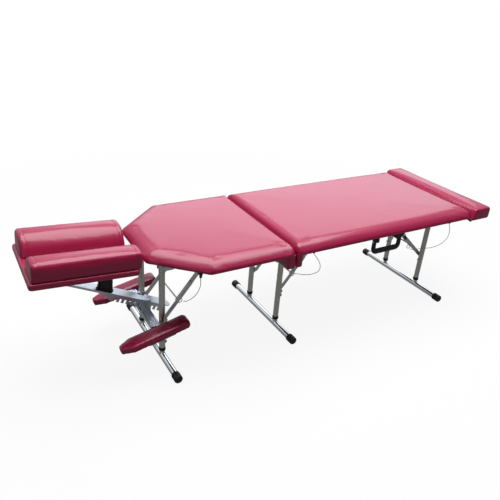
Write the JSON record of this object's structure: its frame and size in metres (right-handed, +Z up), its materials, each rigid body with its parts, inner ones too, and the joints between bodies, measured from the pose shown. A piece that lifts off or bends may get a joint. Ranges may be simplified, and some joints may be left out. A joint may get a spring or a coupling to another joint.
{
  "type": "folding massage table",
  "caption": "Portable folding massage table: padded sections, tilting head piece with arm rests, drop-down foot piece, folding legs on height-adjustable feet.",
  "frame": {"origin": "on the floor under the middle of the table's outline, as it stands open", "axes": "+X from the head piece to the foot piece, +Y from the handle side to the far side, +Z up"},
  "size_m": [1.8859, 0.559, 0.4955],
  "materials": {
    "vinyl": "glossy",
    "deck_board": "painted matt",
    "satin_nickel": "satin",
    "chrome_tube": "polished",
    "alloy": "satin",
    "zinc_steel": "satin",
    "black_plastic": "matte",
    "cap_rubber": "matte",
    "cable": "plain"
  },
  "bodies": {
    "front_section": {"front_pad": "vinyl", "front_frame": "deck_board", "hinge_front_leaf": "zinc_steel", "hinge_pin": "zinc_steel", "front_leg_bracket": "zinc_steel", "neck_bracket": "zinc_steel", "front_pull_cord": "cable"},
    "rear_section": {"rear_pad": "vinyl", "rear_frame": "deck_board", "hinge_rear_leaf": "zinc_steel", "foot_hinge_rod": "black_plastic", "middle_leg_bracket": "zinc_steel", "rear_leg_bracket": "zinc_steel", "middle_pull_cord": "cable", "rear_pull_cord": "cable"},
    "foot_piece": {"foot_pad": "vinyl"},
    "handle": {"carry_handle": "black_plastic"},
    "latch": {"case_latch": "black_plastic"},
    "head": {"head_board": "vinyl", "head_pad_near": "vinyl", "head_pad_far": "vinyl", "head_rail": "alloy", "head_post": "black_plastic"},
    "arm": {"armrest_arm": "alloy"},
    "rest_near": {"armrest_near": "vinyl"},
    "rest_far": {"armrest_far": "vinyl"},
    "front_leg": {"front_leg_frame": "satin_nickel", "front_collar_near": "black_plastic", "front_collar_far": "black_plastic"},
    "front_foot": {"front_foot_frame": "chrome_tube", "front_cap_near": "cap_rubber", "front_cap_far": "cap_rubber"},
    "front_plunger_n": {"front_plunger_near": "chrome_tube"},
    "front_plunger_f": {"front_plunger_far": "chrome_tube"},
    "front_yoke": {"front_brace_upper": "zinc_steel"},
    "front_links": {"front_brace_lower_near": "zinc_steel", "front_brace_lower_far": "zinc_steel"},
    "middle_leg": {"middle_leg_frame": "satin_nickel", "middle_collar_near": "black_plastic", "middle_collar_far": "black_plastic"},
    "middle_foot": {"middle_foot_frame": "chrome_tube", "middle_cap_near": "cap_rubber", "middle_cap_far": "cap_rubber"},
    "middle_plunger_n": {"middle_plunger_near": "chrome_tube"},
    "middle_plunger_f": {"middle_plunger_far": "chrome_tube"},
    "middle_yoke": {"middle_brace_upper": "zinc_steel"},
    "middle_links": {"middle_brace_lower_near": "zinc_steel", "middle_brace_lower_far": "zinc_steel"},
    "rear_leg": {"rear_leg_frame": "satin_nickel", "rear_collar_near": "black_plastic", "rear_collar_far": "black_plastic"},
    "rear_foot": {"rear_foot_frame": "chrome_tube", "rear_cap_near": "cap_rubber", "rear_cap_far": "cap_rubber"},
    "rear_plunger_n": {"rear_plunger_near": "chrome_tube"},
    "rear_plunger_f": {"rear_plunger_far": "chrome_tube"},
    "rear_yoke": {"rear_brace_upper": "zinc_steel"},
    "rear_links": {"rear_brace_lower_near": "zinc_steel", "rear_brace_lower_far": "zinc_steel"}
  },
  "joints": [
    {"name": "centre_fold", "type": "hinge", "parent": "front_section", "child": "rear_section", "pos_m": [-0.07892, 0, 0.3685], "axis": [0, 1, 0], "range_deg": [0, 75]},
    {"name": "foot_fold", "type": "hinge", "parent": "rear_section", "child": "foot_piece", "pos_m": [0.82448, 0, 0.412], "axis": [0, 1, 0], "range_deg": [0, 90]},
    {"name": "handle_swing", "type": "hinge", "parent": "rear_section", "child": "handle", "pos_m": [0.35108, -0.2701, 0.408], "axis": [-1, 0, 0], "range_deg": [-60, 90]},
    {"name": "case_latch_turn", "type": "hinge", "parent": "rear_section", "child": "latch", "pos_m": [0.43508, -0.2719, 0.4124], "axis": [0, 1, 0], "range_deg": [-55, 45]},
    {"name": "head_tilt", "type": "hinge", "parent": "front_section", "child": "head", "pos_m": [-0.58992, 0, 0.391], "axis": [0, 1, 0], "range_deg": [0, 12]},
    {"name": "armrest_slide", "type": "slide", "parent": "head", "child": "arm", "axis": [-0.8942, 0, 0.4478], "range_m": [0, 0.111]},
    {"name": "armrest_near_tilt", "type": "hinge", "parent": "arm", "child": "rest_near", "pos_m": [-0.54565, 0, 0.16095], "axis": [0, 1, 0], "range_deg": [-20, 20]},
    {"name": "armrest_far_tilt", "type": "hinge", "parent": "arm", "child": "rest_far", "pos_m": [-0.54565, 0, 0.16095], "axis": [0, 1, 0], "range_deg": [-20, 20]},
    {"name": "front_leg_fold", "type": "hinge", "parent": "front_section", "child": "front_leg", "pos_m": [-0.51392, 0, 0.386], "axis": [0, -1, 0], "range_deg": [0, 90], "deforming": ["front_pull_cord"]},
    {"name": "front_yoke_turn", "type": "hinge", "parent": "front_section", "child": "front_yoke", "pos_m": [-0.31492, 0, 0.392], "axis": [0, -1, 0], "range_deg": [-33.45, 0]},
    {"name": "front_links_turn", "type": "hinge", "parent": "front_leg", "child": "front_links", "pos_m": [-0.49992, 0, 0.162], "axis": [0, -1, 0], "range_deg": [0, 56.57]},
    {"name": "front_foot_height", "type": "slide", "parent": "front_leg", "child": "front_foot", "axis": [0, 0, 1], "range_m": [-0.15, 0]},
    {"name": "front_plunger_near_pull", "type": "slide", "parent": "front_leg", "child": "front_plunger_n", "axis": [1, 0, 0], "range_m": [0, 0.003], "stiffness_N_per_m": 400, "springref_m": -0.004},
    {"name": "front_plunger_far_pull", "type": "slide", "parent": "front_leg", "child": "front_plunger_f", "axis": [1, 0, 0], "range_m": [0, 0.003], "stiffness_N_per_m": 400, "springref_m": -0.004},
    {"name": "middle_leg_fold", "type": "hinge", "parent": "rear_section", "child": "middle_leg", "pos_m": [-0.02142, 0, 0.386], "axis": [0, -1, 0], "range_deg": [0, 90], "deforming": ["middle_pull_cord"]},
    {"name": "middle_yoke_turn", "type": "hinge", "parent": "rear_section", "child": "middle_yoke", "pos_m": [0.17758, 0, 0.392], "axis": [0, -1, 0], "range_deg": [-33.45, 0]},
    {"name": "middle_links_turn", "type": "hinge", "parent": "middle_leg", "child": "middle_links", "pos_m": [-0.00742, 0, 0.162], "axis": [0, -1, 0], "range_deg": [0, 56.57]},
    {"name": "middle_foot_height", "type": "slide", "parent": "middle_leg", "child": "middle_foot", "axis": [0, 0, 1], "range_m": [-0.15, 0]},
    {"name": "middle_plunger_near_pull", "type": "slide", "parent": "middle_leg", "child": "middle_plunger_n", "axis": [1, 0, 0], "range_m": [0, 0.003], "stiffness_N_per_m": 400, "springref_m": -0.004},
    {"name": "middle_plunger_far_pull", "type": "slide", "parent": "middle_leg", "child": "middle_plunger_f", "axis": [1, 0, 0], "range_m": [0, 0.003], "stiffness_N_per_m": 400, "springref_m": -0.004},
    {"name": "rear_leg_fold", "type": "hinge", "parent": "rear_section", "child": "rear_leg", "pos_m": [0.77908, 0, 0.386], "axis": [0, 1, 0], "range_deg": [0, 90], "deforming": ["rear_pull_cord"]},
    {"name": "rear_yoke_turn", "type": "hinge", "parent": "rear_section", "child": "rear_yoke", "pos_m": [0.53008, 0, 0.392], "axis": [0, 1, 0], "range_deg": [-30.8, 0]},
    {"name": "rear_links_turn", "type": "hinge", "parent": "rear_leg", "child": "rear_links", "pos_m": [0.77908, 0, 0.167], "axis": [0, 1, 0], "range_deg": [0, 59.22]},
    {"name": "rear_foot_height", "type": "slide", "parent": "rear_leg", "child": "rear_foot", "axis": [0, 0, 1], "range_m": [-0.15, 0]},
    {"name": "rear_plunger_near_pull", "type": "slide", "parent": "rear_leg", "child": "rear_plunger_n", "axis": [-1, 0, 0], "range_m": [0, 0.003], "stiffness_N_per_m": 400, "springref_m": -0.004},
    {"name": "rear_plunger_far_pull", "type": "slide", "parent": "rear_leg", "child": "rear_plunger_f", "axis": [-1, 0, 0], "range_m": [0, 0.003], "stiffness_N_per_m": 400, "springref_m": -0.004}
  ],
  "couplings": [
    {"joint": "front_yoke_turn", "follows": "front_leg_fold", "ratio": -0.3716},
    {"joint": "front_links_turn", "follows": "front_leg_fold", "ratio": 0.6284},
    {"joint": "middle_yoke_turn", "follows": "middle_leg_fold", "ratio": -0.3716},
    {"joint": "middle_links_turn", "follows": "middle_leg_fold", "ratio": 0.6284},
    {"joint": "rear_yoke_turn", "follows": "rear_leg_fold", "ratio": -0.34213},
    {"joint": "rear_links_turn", "follows": "rear_leg_fold", "ratio": 0.65787}
  ]
}
